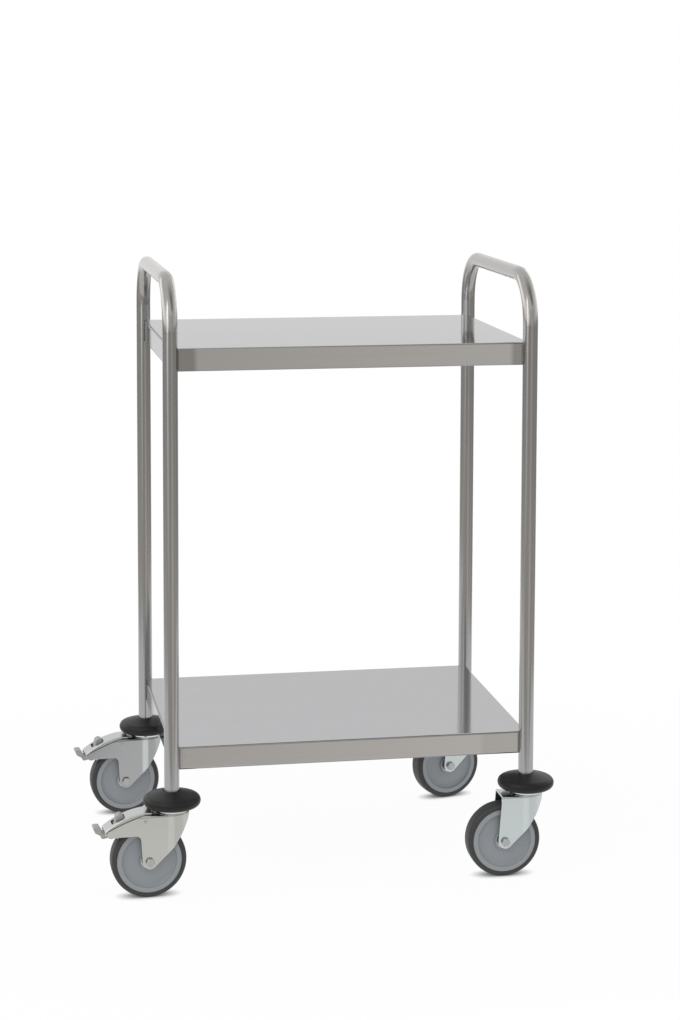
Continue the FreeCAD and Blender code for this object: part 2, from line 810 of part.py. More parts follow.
def brake_shoe():
    """Leaf that hangs from the root pin, bent round the tyre, with a block at its end."""
    pin = around_axle(root_pin_radius, root_pin_angle)
    eye_radius = brake_pin_diameter / 2 + brake_pin_clearance + shoe_eye_wall
    leaf_inner = shoe_back_radius - shoe_leaf
    leaf_face = ring_sector(leaf_inner, shoe_back_radius, root_pin_angle, shoe_block_end_angle)
    leaf = prism(leaf_face, shoe_width)
    block_inner = tyre_radius + brake_gap
    block_face = ring_sector(block_inner, shoe_back_radius, shoe_block_start_angle, shoe_block_end_angle)
    body = leaf.fuse([prism(block_face, shoe_width), disc(pin, eye_radius, shoe_width)]).removeSplitter()
    return body.cut(disc(pin, brake_pin_diameter / 2 + brake_pin_clearance, shoe_width + 2 * overrun))


def as_list(shapes):
    """The solids of one shape or of a list of shapes."""
    return list(shapes) if isinstance(shapes, list) else [shapes]


def placed(shapes, corner, angle):
    """Turn shapes about the king pin axis and move them under their corner's tube."""
    x_side, y_side = castor_corners[corner]
    spot = Vector(x_side * tube_spacing_x / 2, y_side * tube_spacing_y / 2, 0)
    return [shape.rotated(ORIGIN, UP, angle).translated(spot) for shape in as_list(shapes)]


def build():
    """All nodes of the trolley, each a list of solids."""
    nodes = {
        "left_handle_frame": [handle_frame(-1)],
        "right_handle_frame": [handle_frame(1)],
        "top_shelf": [shelf(top_deck)],
        "bottom_shelf": [shelf(bottom_deck)],
    }
    shared = {"tube_expanders": tube_expander(), "castor_bolts": castor_bolt(), "king_pins": king_pin()}
    for node, shape in shared.items():
        nodes[node] = []
        for corner in castor_corners:
            nodes[node] += placed(shape, corner, castor_turn_angles[corner])
    every_castor = {
        "bumper": bumper(),
        "swivel_head": swivel_head(),
        "swivel_balls": swivel_balls(),
        "axle_bolt": axle_bolt(),
        "axle_nut": axle_nut(),
        "axle_sleeve": axle_sleeve(),
        "wheel_bearings": wheel_bearings(),
        "wheel_centre": wheel_centre(),
        "wheel_caps": wheel_caps(),
        "tyre": tyre(),
    }
    plain = {"fork": fork(False)}
    braked = {
        "fork": fork(True),
        "brake_cover": brake_cover(),
        "brake_pins": brake_pins(),
        "brake_rocker": brake_rocker(),
        "brake_shoe": brake_shoe(),
    }
    for corner, angle in castor_turn_angles.items():
        own = braked if corner in braked_castors else plain
        for piece, shapes in {**every_castor, **own}.items():
            nodes[corner + "_" + piece] = placed(shapes, corner, angle)
    return nodes


def export(nodes):
    """Centre the trolley over the origin by its outer box, and write one file for each node."""
    os.makedirs("parts", exist_ok=True)
    whole = Part.makeCompound([shape for shapes in nodes.values() for shape in shapes])
    box = whole.optimalBoundingBox(False, False)
    shift = Vector(-box.Center.x, -box.Center.y, 0)
    for node, shapes in nodes.items():
        moved = [shape.translated(shift) for shape in shapes]
        solid = moved[0] if len(moved) == 1 else Part.makeCompound(moved)
        solid.exportStep("parts/" + node + ".step")


export(build())
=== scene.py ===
import math

import bmesh
import bpy
from mathutils import Matrix, Vector


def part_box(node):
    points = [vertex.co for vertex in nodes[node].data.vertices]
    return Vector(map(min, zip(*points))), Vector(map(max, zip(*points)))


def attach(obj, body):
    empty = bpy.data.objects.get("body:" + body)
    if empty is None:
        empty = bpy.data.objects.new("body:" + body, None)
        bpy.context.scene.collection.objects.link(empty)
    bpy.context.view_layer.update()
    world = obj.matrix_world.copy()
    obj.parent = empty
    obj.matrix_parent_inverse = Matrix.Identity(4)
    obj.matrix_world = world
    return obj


# Stainless utility trolley in a white studio. Metres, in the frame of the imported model.

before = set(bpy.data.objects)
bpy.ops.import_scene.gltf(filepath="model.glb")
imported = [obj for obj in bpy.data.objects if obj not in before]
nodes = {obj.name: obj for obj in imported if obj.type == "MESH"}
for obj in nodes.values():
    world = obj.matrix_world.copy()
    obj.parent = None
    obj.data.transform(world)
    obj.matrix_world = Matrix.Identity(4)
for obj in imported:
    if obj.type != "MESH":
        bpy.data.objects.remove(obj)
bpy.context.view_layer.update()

# Places read from the model
LEFT_LOW, LEFT_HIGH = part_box("left_handle_frame")
RIGHT_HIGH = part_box("right_handle_frame")[1]
TUBE_RADIUS = (LEFT_HIGH.x - LEFT_LOW.x) / 2
MID_X = (LEFT_LOW.x + RIGHT_HIGH.x) / 2
MID_Y = (LEFT_LOW.y + LEFT_HIGH.y) / 2
HALF_X = RIGHT_HIGH.x - TUBE_RADIUS - MID_X
HALF_Y = LEFT_HIGH.y - TUBE_RADIUS - MID_Y
BAR_HEIGHT = LEFT_HIGH.z - TUBE_RADIUS

# Camera, from the photograph's frame of 680 by 1020 pixels; its place is from the middle of the tubes
IMAGE_HEIGHT = 1020
FOCAL_PIXELS = 2356.7
PRINCIPAL_Y = 300.0
SENSOR = 36.0
CAMERA_OFFSET = Vector((-0.7014, -3.9950, 1.3530))
CAMERA_YAW = math.radians(10.227)
CAMERA_PITCH = math.radians(5.560)
CAMERA_ROLL = math.radians(0.166)

# Usual lowest and highest value of a noise
NOISE_LOW = 0.3
NOISE_HIGH = 0.7
# Places of the colour sockets on a mix node
MIX_A = 6
MIX_B = 7
MIX_RESULT = 2
WHITE = (1, 1, 1, 1)


# Node helpers
def grey(level):
    """Neutral colour."""
    return (level, level, level)


def new_material(name):
    """Material with its node tree and its shader."""
    material = bpy.data.materials.new(name)
    material.use_nodes = True
    tree = material.node_tree
    return material, tree, tree.nodes["Principled BSDF"]


def add_node(tree, kind, settings=None, inputs=None):
    """Node of a kind, with its settings and its input values."""
    made = tree.nodes.new(kind)
    for key, value in (settings or {}).items():
        setattr(made, key, value)
    for key, value in (inputs or {}).items():
        made.inputs[key].default_value = value
    return made


def joined(tree, kind, value, socket, settings=None, inputs=None):
    """Node of a kind with a value linked to one of its sockets; gives the node's first output."""
    made = add_node(tree, kind, settings, inputs)
    tree.links.new(value, made.inputs[socket])
    return made.outputs[0]


def rest_place(tree):
    """Place in an object's own frame, which moves with it; for every piece it is the model's at rest."""
    return add_node(tree, "ShaderNodeTexCoord").outputs["Object"]


def rest_facing(tree):
    """Direction that a face looks in, in its object's own frame."""
    return add_node(tree, "ShaderNodeTexCoord").outputs["Normal"]


def parts_of(tree, vector):
    """The X, Y and Z values of a vector."""
    made = add_node(tree, "ShaderNodeSeparateXYZ")
    tree.links.new(vector, made.inputs["Vector"])
    return made.outputs


def turn_share(tree, vector):
    """Direction of a vector round the Z axis, as a share of a turn."""
    return joined(tree, "ShaderNodeTexGradient", vector, "Vector", {"gradient_type": "RADIAL"})


def noise(tree, stretch, scale=1.0, detail=3.0, roughness=0.55):
    """Noise over an object's own frame, drawn out along the axes whose stretch is small."""
    mapped = joined(tree, "ShaderNodeMapping", rest_place(tree), "Vector", inputs={"Scale": stretch})
    settings = {"Scale": scale, "Detail": detail, "Roughness": roughness}
    return joined(tree, "ShaderNodeTexNoise", mapped, "Vector", inputs=settings)


def spread(tree, value, low, high, start=NOISE_LOW, end=NOISE_HIGH):
    """Value between a start and an end mapped to a range."""
    limits = {"From Min": start, "From Max": end, "To Min": low, "To Max": high}
    return joined(tree, "ShaderNodeMapRange", value, "Value", inputs=limits)


def share_between(tree, value, start, end):
    """Share of the way that a value has come from a start to an end."""
    return spread(tree, value, 0.0, 1.0, start, end)


def colours(tree, value, stops):
    """Colour by a value, from (share, colour) stops."""
    ramp = add_node(tree, "ShaderNodeValToRGB")
    elements = ramp.color_ramp.elements
    while len(elements) < len(stops):
        elements.new(position=0.5)
    for element, (share, colour) in zip(elements, stops):
        element.position = share
        element.color = (*colour, 1)
    tree.links.new(value, ramp.inputs["Fac"])
    return ramp.outputs["Color"]


def grained(tree, grain, dark, light):
    """Colour that varies with a noise."""
    return colours(tree, grain, [(NOISE_LOW, dark), (NOISE_HIGH, light)])


def banded(tree, value, bands):
    """Level by a value, from (value, level) bands in rising order."""
    first = bands[0][0]
    last = bands[-1][0]
    highest = max(level for place, level in bands)
    share = share_between(tree, value, first, last)
    stops = [((place - first) / (last - first), grey(level / highest)) for place, level in bands]
    return spread(tree, colours(tree, share, stops), 0.0, highest, 0.0, 1.0)


def combined(tree, operation, first, second):
    """Sum, difference or the like of two values."""
    made = add_node(tree, "ShaderNodeMath", {"operation": operation})
    tree.links.new(first, made.inputs[0])
    tree.links.new(second, made.inputs[1])
    return made.outputs[0]


def blended(tree, share, first, second):
    """Blend of two values: the first at a share of 0, the second at 1."""
    made = add_node(tree, "ShaderNodeMix")
    tree.links.new(share, made.inputs["Factor"])
    tree.links.new(first, made.inputs["A"])
    tree.links.new(second, made.inputs["B"])
    return made.outputs["Result"]


def multiplied(tree, first, second):
    """Product of two colours."""
    settings = {"data_type": "RGBA", "blend_type": "MULTIPLY"}
    made = add_node(tree, "ShaderNodeMix", settings, {"Factor": 1.0})
    tree.links.new(first, made.inputs[MIX_A])
    tree.links.new(second, made.inputs[MIX_B])
    return made.outputs[MIX_RESULT]


def whitened(tree, share, colour):
    """Colour that turns white as a share goes from 0 to 1."""
    made = add_node(tree, "ShaderNodeMix", {"data_type": "RGBA"}, {MIX_B: WHITE})
    tree.links.new(share, made.inputs["Factor"])
    tree.links.new(colour, made.inputs[MIX_A])
    return made.outputs[MIX_RESULT]


# Radius over which sharp edges look softly broken
EDGE = 0.0005


def relief(tree, shader, value, depth):
    """Fine relief from a value, over edges that are softly broken."""
    made = add_node(tree, "ShaderNodeBump", inputs={"Strength": 1.0, "Distance": depth})
    soft = add_node(tree, "ShaderNodeBevel", inputs={"Radius": EDGE})
    tree.links.new(soft.outputs["Normal"], made.inputs["Normal"])
    tree.links.new(value, made.inputs["Height"])
    tree.links.new(made.outputs["Normal"], shader.inputs["Normal"])


# Grain that runs alike in all directions
EVEN = (1, 1, 1)


def plain_surface(name, dark, light, rough, grain_scale, depth, metallic=0.0, shine=0.5):
    """Surface whose colour, gloss and fine relief vary with an even grain."""
    material, tree, shader = new_material(name)
    grain = noise(tree, EVEN, grain_scale)
    tree.links.new(grained(tree, grain, dark, light), shader.inputs["Base Color"])
    tree.links.new(spread(tree, grain, *rough), shader.inputs["Roughness"])
    shader.inputs["Metallic"].default_value = metallic
    shader.inputs["Specular IOR Level"].default_value = shine
    relief(tree, shader, grain, depth)
    return material


# Drawn tube, whose grain follows the legs and, from one height to another, turns along the handles
LEG_GRAIN = (420, 420, 3)
HANDLE_GRAIN = (420, 3, 420)
HANDLE_GRAIN_START = BAR_HEIGHT - 0.07
HANDLE_GRAIN_FULL = BAR_HEIGHT - 0.01
TUBE_DARK = (0.360, 0.358, 0.364)
TUBE_LIGHT = (0.398, 0.395, 0.401)
TUBE_ROUGH = (0.15, 0.19)
TUBE_RELIEF = 0.000001
# Slight warmth of the handles and their bends, which starts at one height and is full at another
BEND_TINT = (0.955, 0.93, 0.88)
BEND_START = BAR_HEIGHT - 0.10
BEND_FULL = BAR_HEIGHT - 0.03


def tube_surface():
    """Drawn tube, polished lengthwise along the legs and along the handle."""
    material, tree, shader = new_material("stainless_tube")
    shader.inputs["Metallic"].default_value = 1.0
    height = parts_of(tree, rest_place(tree))["Z"]
    handle_share = share_between(tree, height, HANDLE_GRAIN_START, HANDLE_GRAIN_FULL)
    grain = blended(tree, handle_share, noise(tree, LEG_GRAIN), noise(tree, HANDLE_GRAIN))
    steel = grained(tree, grain, TUBE_DARK, TUBE_LIGHT)
    bend_share = share_between(tree, height, BEND_START, BEND_FULL)
    tint = colours(tree, bend_share, [(0.0, grey(1.0)), (1.0, BEND_TINT)])
    tree.links.new(multiplied(tree, steel, tint), shader.inputs["Base Color"])
    tree.links.new(spread(tree, grain, *TUBE_ROUGH), shader.inputs["Roughness"])
    relief(tree, shader, grain, TUBE_RELIEF)
    return material


# Rolled sheet: grain along X, steel from dark to light, and the tint of what it mirrors at a low angle
SHEET_GRAIN = (3, 260, 260)
SHEET_DARK = (0.540, 0.540, 0.552)
SHEET_LIGHT = (0.560, 0.560, 0.572)
SHEET_EDGE_TINT = (0.725, 0.725, 0.725, 1)
SHEET_RELIEF = 0.0000003
# Large faint clouds that vary its gloss
CLOUD_SCALE = 9.0
CLOUD_DETAIL = 2.0
# How far the border of the zones beside the tubes wanders, and how far it fades to each side
ZONE_WANDER = 0.003
ZONE_FADE = 0.004
# Upward part of a face's direction from which it counts as deck, and from which it fully does
DECK_START = 0.5
DECK_FULL = 0.9
# Brightness of the sheet as its face turns from down, through upright, to up; the bends are darker, as
# painted shade
FOLD_SHADE_BANDS = (
    (0.03, 1.0), (0.08, 0.6), (0.42, 0.6), (0.47, 1.0),
    (0.53, 1.0), (0.58, 0.6), (0.92, 0.6), (0.97, 1.0),
)


def from_tubes(tree, left_reach, right_reach):
    """Distance past a reach from the nearest tube's axis; the reach differs at the two ends."""
    from_middle = joined(
        tree, "ShaderNodeMapping", rest_place(tree), "Vector",
        inputs={"Location": (-MID_X, -MID_Y, 0), "Scale": (1, 1, 0)},
    )
    mirrored = joined(tree, "ShaderNodeVectorMath", from_middle, 0, {"operation": "ABSOLUTE"})
    apart = add_node(tree, "ShaderNodeVectorMath", {"operation": "DISTANCE"}, {1: (HALF_X, HALF_Y, 0)})
    tree.links.new(mirrored, apart.inputs[0])
    along = parts_of(tree, from_middle)["X"]
    reach = spread(tree, along, left_reach, right_reach, -HALF_X / 2, HALF_X / 2)
    return combined(tree, "SUBTRACT", apart.outputs["Value"], reach)


def flange_painted_reflection(tree, cloud, left_zone, right_zone, zone_level, flange_level):
    """Colour of the flanges, with a painted reflection of the tubes: another colour in a zone of some
    width beside them.
    """
    # Painted reflection: a darker zone beside each tube stands for the tube mirrored in the flange
    past_zone = from_tubes(tree, TUBE_RADIUS + left_zone, TUBE_RADIUS + right_zone)
    border = combined(tree, "ADD", past_zone, spread(tree, cloud, -ZONE_WANDER, ZONE_WANDER))
    past_border = share_between(tree, border, -ZONE_FADE, ZONE_FADE)
    return colours(tree, past_border, [(0.0, zone_level), (1.0, flange_level)])


def sheet_surface(name, rough, **flange):
    """Bright rolled sheet, with a painted reflection of the tubes in a zone beside them on the flanges,
    and painted shade along its bends.
    """
    material, tree, shader = new_material(name)
    shader.inputs["Metallic"].default_value = 1.0
    shader.inputs["Specular Tint"].default_value = SHEET_EDGE_TINT
    rolled = noise(tree, SHEET_GRAIN)
    cloud = noise(tree, EVEN, CLOUD_SCALE, CLOUD_DETAIL)
    steel = grained(tree, rolled, SHEET_DARK, SHEET_LIGHT)
    upward = parts_of(tree, rest_facing(tree))["Z"]
    deck_share = share_between(tree, upward, DECK_START, DECK_FULL)
    # The painted reflection of the tubes shows on the flanges only; the decks stay plain
    painted_reflection_steel = multiplied(tree, steel, whitened(tree, deck_share, flange_painted_reflection(tree, cloud, **flange)))
    # Painted shade: faces tilted between flat and upright, along the sheet's bends, are darkened
    tilt = share_between(tree, upward, -1.0, 1.0)
    fold_shade = colours(tree, tilt, [(share, grey(level)) for share, level in FOLD_SHADE_BANDS])
    tree.links.new(multiplied(tree, painted_reflection_steel, fold_shade), shader.inputs["Base Color"])
    tree.links.new(spread(tree, cloud, *rough), shader.inputs["Roughness"])
    relief(tree, shader, rolled, SHEET_RELIEF)
    return material


# Share of a turn at which -Y lies
FRONT_SHARE = 0.25
# Pressed forks: grain, gloss, and how much the tone varies
FORK_GRAIN_SCALE = 160
FORK_GRAIN_DETAIL = 2.0
FORK_ROUGH = (0.20, 0.26)
FORK_RELIEF = 0.000002
FORK_VARIATION = 0.02
# Painted reflection bands round a fork's nose: degrees from its front cheek towards the nose, and
# brightness
FAINT_REFLECTION_BANDS = (
    (-40, 1.0), (0.4, 1.0), (2.5, 1.09), (9, 1.06),
    (11, 0.92), (24, 0.94), (32, 1.05), (80, 1.07),
)
STRONG_REFLECTION_BANDS = (
    (-40, 1.0), (0.4, 1.0), (2.5, 1.60), (9, 1.50),
    (11, 0.95), (24, 1.00), (32, 1.22), (80, 1.25),
)
# Tone and bands of each fork, which differ by painted reflection: the rear left fork darker, the front
# left warmer
FORK_PAINTED_REFLECTIONS = {
    "front_left": ((0.475, 0.482, 0.450), FAINT_REFLECTION_BANDS),
    "front_right": ((0.53, 0.575, 0.575), FAINT_REFLECTION_BANDS),
    "rear_left": ((0.36, 0.37, 0.372), STRONG_REFLECTION_BANDS),
    "rear_right": ((0.53, 0.575, 0.575), FAINT_REFLECTION_BANDS),
}


def castor_turn(corner):
    """Degrees a castor is turned at rest, from its swivel head's and its wheel's places."""
    head_low, head_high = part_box(corner + "_swivel_head")
    tyre_low, tyre_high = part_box(corner + "_tyre")
    away = (head_low + head_high - tyre_low - tyre_high) / 2
    return math.degrees(math.atan2(away.y, away.x))


def fork_surface(corner, tone, bands):
    """Zinc-plated pressed sheet whose curved nose carries painted reflection bands from top to bottom."""
    material, tree, shader = new_material(corner + "_zinc")
    shader.inputs["Metallic"].default_value = 1.0
    grain = noise(tree, EVEN, FORK_GRAIN_SCALE, FORK_GRAIN_DETAIL)
    dark = Vector(tone) * (1 - FORK_VARIATION)
    light = Vector(tone) * (1 + FORK_VARIATION)
    plating = grained(tree, grain, dark, light)
    # Painted reflection: brightness by the face's direction round the nose, counted from the castor's
    # turn at rest
    start = FRONT_SHARE + castor_turn(corner) / 360
    stops = [(start + degrees / 360, grey(level)) for degrees, level in bands]
    painted_reflection_streaks = colours(tree, turn_share(tree, rest_facing(tree)), stops)
    tree.links.new(multiplied(tree, plating, painted_reflection_streaks), shader.inputs["Base Color"])
    tree.links.new(spread(tree, grain, *FORK_ROUGH), shader.inputs["Roughness"])
    relief(tree, shader, grain, FORK_RELIEF)
    return material


def sheet_surfaces():
    """Materials of the two shelves, whose painted reflection zones beside the tubes differ."""
    return {
        "stainless_sheet": sheet_surface(
            "stainless_sheet", rough=(0.05, 0.09), left_zone=0.029, right_zone=0.019,
            zone_level=(0.65, 0.64, 0.63), flange_level=grey(1.0)),
        "bottom_shelf": sheet_surface(
            "stainless_lower_sheet", rough=(0.07, 0.11), left_zone=0.006, right_zone=0.064,
            zone_level=(0.83, 0.82, 0.81), flange_level=grey(0.92)),
    }


def wheel_surfaces():
    """Materials of rubber and plastic."""
    return {
        "bumper_rubber": plain_surface(
            "bumper_rubber", dark=grey(0.009), light=grey(0.013),
            rough=(0.40, 0.50), grain_scale=900, depth=0.00003, shine=0.26),
        "tyre_rubber": plain_surface(
            "tyre_rubber", dark=(0.026, 0.027, 0.028), light=(0.033, 0.034, 0.035),
            rough=(0.50, 0.62), grain_scale=700, depth=0.00004),
        "wheel_plastic": plain_surface(
            "wheel_plastic", dark=(0.27, 0.286, 0.300), light=(0.30, 0.316, 0.330),
            rough=(0.38, 0.48), grain_scale=800, depth=0.00003),
        "wheel_caps": plain_surface(
            "wheel_cap_plastic", dark=(0.253, 0.274, 0.294), light=(0.273, 0.295, 0.315),
            rough=(0.36, 0.44), grain_scale=800, depth=0.00002),
    }


def metal_surfaces():
    """Materials of the castors' metal pieces and of the welds."""
    return {
        "bright_zinc": plain_surface(
            "bright_zinc", dark=(0.56, 0.58, 0.58), light=(0.60, 0.62, 0.62),
            rough=(0.16, 0.24), grain_scale=160, depth=0.000003, metallic=1.0),
        "brake_cover": plain_surface(
            "polished_zinc", dark=(0.47, 0.48, 0.475), light=(0.50, 0.51, 0.505),
            rough=(0.18, 0.26), grain_scale=160, depth=0.000003, metallic=1.0),
        "swivel_head": plain_surface(
            "polished_race", dark=grey(0.66), light=grey(0.70),
            rough=(0.05, 0.09), grain_scale=160, depth=0.000002, metallic=1.0),
        "bolt_steel": plain_surface(
            "bolt_steel", dark=(0.34, 0.345, 0.34), light=(0.46, 0.465, 0.46),
            rough=(0.20, 0.30), grain_scale=500, depth=0.00002, metallic=1.0),
        "plain_steel": plain_surface(
            "plain_steel", dark=grey(0.50), light=grey(0.58),
            rough=(0.25, 0.35), grain_scale=500, depth=0.00002, metallic=1.0),
        "grey_casting": plain_surface(
            "grey_casting", dark=(0.30, 0.30, 0.295), light=(0.44, 0.44, 0.43),
            rough=(0.40, 0.52), grain_scale=700, depth=0.00012, metallic=0.6),
        "weld": plain_surface(
            "weld_bead", dark=(0.16, 0.15, 0.14), light=(0.27, 0.255, 0.24),
            rough=(0.30, 0.42), grain_scale=600, depth=0.00002, metallic=1.0),
    }


def surfaces():
    """Materials by the record's slot, and by piece where pieces of one slot differ."""
    made = {"stainless_tube": tube_surface(), **sheet_surfaces(), **wheel_surfaces(), **metal_surfaces()}
    for corner, (tone, bands) in FORK_PAINTED_REFLECTIONS.items():
        made[corner + "_fork"] = fork_surface(corner, tone, bands)
    return made


def dress(materials):
    """Give every node its material: by its name, by its piece's name on every castor, or by its slot."""
    for name, piece in nodes.items():
        slot = piece.material_slots[0].material.name.split(".")[0]
        on_castor = name.split("_", 2)[-1]
        material = materials.get(name) or materials.get(on_castor) or materials[slot]
        piece.data.materials.clear()
        piece.data.materials.append(material)


def placed(name, data):
    """Object of a mesh, lamp or camera, in the scene."""
    made = bpy.data.objects.new(name, data)
    bpy.context.scene.collection.objects.link(made)
    return made


# Weld beads in the corners between the shelves' flanges and the tubes; their ends are set in from the
# flanges' edges, and their middles stand a little outside the line between the tubes' axes
BEAD_RADIUS = 0.0019
BEAD_INSET = 0.0015
BEAD_PROUD = 0.0003
BEAD_RINGS = 85
BEAD_SIDES = 10
BEAD_RIPPLES = 21
RIPPLE_SHARE = 0.04
# Even power that keeps a bead full up to its ends; a higher one makes them blunter
BEAD_BLUNTNESS = 16


def bead_ring(bead_mesh, centre, length, share):
    """Ring of a bead's corners at a share of its length."""
    taper = math.sqrt(1 - (2 * share - 1) ** BEAD_BLUNTNESS)
    ripple = 1 - RIPPLE_SHARE + RIPPLE_SHARE * math.cos(2 * math.pi * BEAD_RIPPLES * share)
    radius = BEAD_RADIUS * taper * ripple
    rise = length * (share - 0.5)
    corners = []
    for side in range(BEAD_SIDES):
        angle = 2 * math.pi * side / BEAD_SIDES
        offset = Vector((radius * math.cos(angle), radius * math.sin(angle), rise))
        corners.append(bead_mesh.verts.new(centre + offset))
    return corners


def add_bead(bead_mesh, centre, length):
    """Upright bead with tapered ends and finely rippled sides."""
    shares = [(ring + 0.5) / BEAD_RINGS for ring in range(BEAD_RINGS)]
    rings = [bead_ring(bead_mesh, centre, length, share) for share in shares]
    for low, high in zip(rings, rings[1:]):
        for side in range(BEAD_SIDES):
            after = (side + 1) % BEAD_SIDES
            bead_mesh.faces.new((low[side], low[after], high[after], high[side]))
    bead_mesh.faces.new(list(reversed(rings[0])))
    bead_mesh.faces.new(rings[-1])


def shelf_welds(shelf, material):
    """All beads of one shelf: one down each flange end, at the four tubes."""
    low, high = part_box(shelf)
    middle = Vector((0, 0, (low.z + high.z) / 2))
    length = high.z - low.z - 2 * BEAD_INSET
    bead_mesh = bmesh.new()
    for x_side in (-1, 1):
        for y_side in (-1, 1):
            corner = Vector((MID_X + x_side * HALF_X, MID_Y + y_side * HALF_Y, 0))
            long_end = corner + Vector((-x_side * TUBE_RADIUS, y_side * BEAD_PROUD, 0))
            short_end = corner + Vector((x_side * BEAD_PROUD, -y_side * TUBE_RADIUS, 0))
            for place in (long_end, short_end):
                add_bead(bead_mesh, place + middle, length)
    mesh = bpy.data.meshes.new(shelf + "_welds")
    bead_mesh.to_mesh(mesh)
    bead_mesh.free()
    for face in mesh.polygons:
        face.use_smooth = True
    mesh.materials.append(material)
    made = placed(shelf + "_welds", mesh)
    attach(made, "frame")


# Studio: white floor and background, one soft lamp, and a wall and two panels that show in mirrors only
FLOOR_HALF_WIDTH = 1.6
FLOOR_FRONT = -0.8
FLOOR_BACK = 1.8
FLOOR_PAINT = (0.9, 0.9, 0.9, 1)
# Share of the floor that takes shade, and the distances from the object between which it fades out
SHADE_SHARE = 0.04
SHADE_NEAR = 0.7
SHADE_FAR = 1.3
# Painted contact shadow, a soft dark line where the floor is touched: how far it reaches, and (openness,
# level)
CONTACT_REACH = 0.03
CONTACT_SHADOW_BANDS = ((0.0, 0.03), (0.3, 0.35), (0.75, 1.0))
# Round wall; its opening behind the object is in degrees to each side
WALL_RADIUS = 5.4
WALL_LOW = -2.4
WALL_HIGH = 3.6
WALL_OPENING = 30
WALL_STEPS = 96
# Brightness of the studio wall low down and higher up: degrees from -Y towards +X, and level
LOWER_BANDS = (
    (-90, 0.54), (-50, 0.46), (-25, 0.46), (-15, 0.42), (-5, 0.48), (2, 0.54), (18, 0.68),
    (30, 0.54), (48, 0.42), (72, 0.50), (95, 0.42), (150, 0.40), (210, 0.40), (242, 0.46), (270, 0.54),
)
UPPER_BANDS = (
    (-90, 1.6), (-62, 1.25), (-33, 1.4), (-18, 0.70), (0, 0.82), (25, 0.66), (46, 0.76),
    (64, 0.90), (84, 1.10), (100, 1.35), (150, 1.8), (210, 2.0), (250, 1.9), (270, 1.6),
)
LOWER_TINT = (1.0, 0.96, 0.885)
UPPER_TINT = (1.0, 0.99, 0.965)
# Rise and fall of the lower part's brightness, as (height, level)
LOWER_HEIGHTS = ((WALL_LOW, 1.2), (-1.25, 1.2), (-0.7, 1.3), (0.0, 1.0), (WALL_HIGH, 1.0))
# Heights where the upper part starts to show, and where only it shows
UPPER_START = 0.8
UPPER_FULL = 1.25
# Narrow upright light at the left, which draws a bright line down the tubes, as (height, level)
STRIP_PLACE = Vector((-1.56, -1.53, 0))
STRIP_HALF_WIDTH = 0.40
STRIP_BANDS = ((0.15, 0.75), (0.6, 0.82), (0.75, 1.5), (1.1, 2.0), (1.6, 2.6), (2.8, 2.8), (3.6, 1.0))
# Soft dark band overhead at the right, which draws a streak over the handles' bends: its two ends,
# the level along its middle, and the share of its length from which it fades out
OVERHEAD_START = Vector((3.0, -3.5, WALL_HIGH))
OVERHEAD_END = Vector((-0.2, 0.6, WALL_HIGH))
OVERHEAD_LEVEL = 0.38
OVERHEAD_FADE_SHARE = 0.6
# Darkness across the band, as (distance from its middle, share)
OVERHEAD_ACROSS = ((-1.6, 0.0), (-0.7, 1.0), (0.7, 1.0), (1.6, 0.0))
# Strength of the floor and of the world for the rays that light the object; seen directly they are white
FLOOR_GLOW = 0.9
WORLD_LEVEL = 0.70
# Lamp high at the front left
LAMP_PLACE = Vector((-1.6, -1.4, 3.3))
LAMP_TARGET = Vector((0, 0, 0.5))
LAMP_SIZE = 3.0
LAMP_POWER = 45.0


def seen_directly(tree, hidden, shown):
    """One strength for rays from the camera and mirrors, another for the rest."""
    path = add_node(tree, "ShaderNodeLightPath").outputs
    seen = combined(tree, "MAXIMUM", path["Is Camera Ray"], path["Is Glossy Ray"])
    seen = combined(tree, "MAXIMUM", seen, path["Is Transmission Ray"])
    return spread(tree, seen, hidden, shown, 0.0, 1.0)


def glowing_material(name):
    """Material that only glows, with its node tree and its glow."""
    material = bpy.data.materials.new(name)
    material.use_nodes = True
    tree = material.node_tree
    tree.nodes.clear()
    glow = add_node(tree, "ShaderNodeEmission")
    out = add_node(tree, "ShaderNodeOutputMaterial")
    tree.links.new(glow.outputs["Emission"], out.inputs["Surface"])
    return material, tree, glow


def mesh_object(name, points, faces, material):
    """Mesh object from its corner points, its faces and its material."""
    mesh = bpy.data.meshes.new(name)
    mesh.from_pydata(points, [], faces)
    mesh.materials.append(material)
    return placed(name, mesh)


def panel(name, corners, material):
    """Panel of four corners."""
    return mesh_object(name, corners, [(0, 1, 2, 3)], material)


def show_in_mirrors_only(backdrop):
    """Hide a backdrop from all but the object's reflections."""
    backdrop.visible_camera = False
    backdrop.visible_diffuse = False
    backdrop.visible_shadow = False


